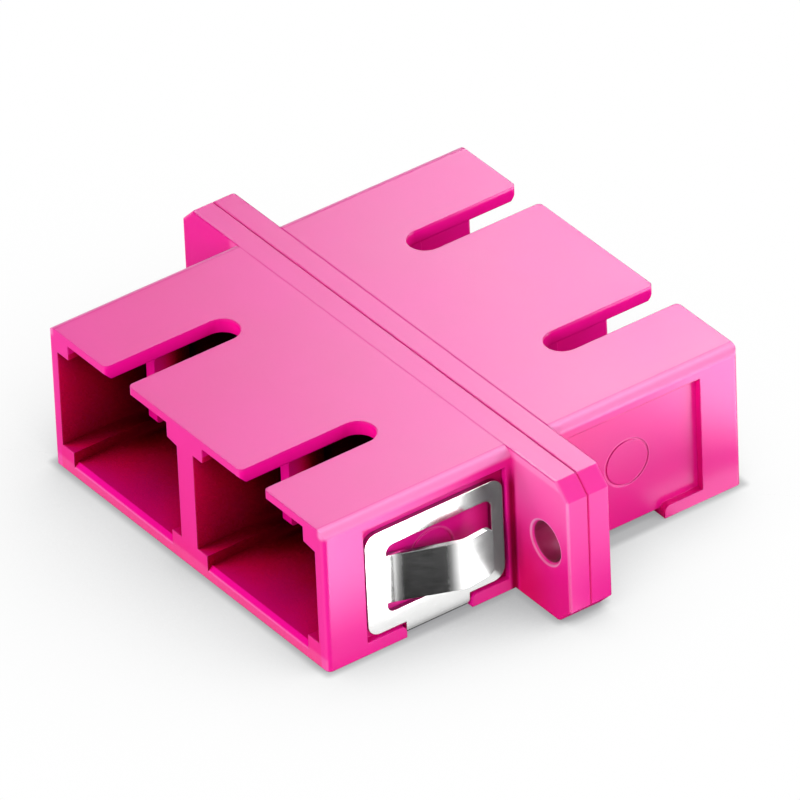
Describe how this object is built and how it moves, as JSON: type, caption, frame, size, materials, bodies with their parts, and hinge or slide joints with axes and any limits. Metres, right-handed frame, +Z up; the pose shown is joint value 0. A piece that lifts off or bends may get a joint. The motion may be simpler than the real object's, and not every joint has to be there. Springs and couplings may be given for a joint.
{
  "type": "duplex fibre optic adapter",
  "caption": "Flanged duplex fibre optic adapter with welded housing halves, keyed ports, latch inserts, split sleeves and a sprung metal panel clip.",
  "frame": {"origin": "middle of the underside, on the weld line between the two halves", "axes": "+X across the two ports, +Y along the fibres from the clip's half to the other half, +Z up through the keyways"},
  "size_m": [0.0358, 0.0282, 0.0093],
  "materials": {
    "housing": "glossy magenta moulding",
    "insert": "glossy magenta moulding",
    "sleeve": "ground white zirconia",
    "clip": "bright stamped spring steel"
  },
  "bodies": {
    "root": {"front_housing": "housing", "rear_housing": "housing", "latch_insert_front_left": "insert", "latch_insert_front_right": "insert", "latch_insert_rear_left": "insert", "latch_insert_rear_right": "insert", "split_sleeve_left": "sleeve", "split_sleeve_right": "sleeve", "metal_clip": "clip"}
  },
  "joints": []
}
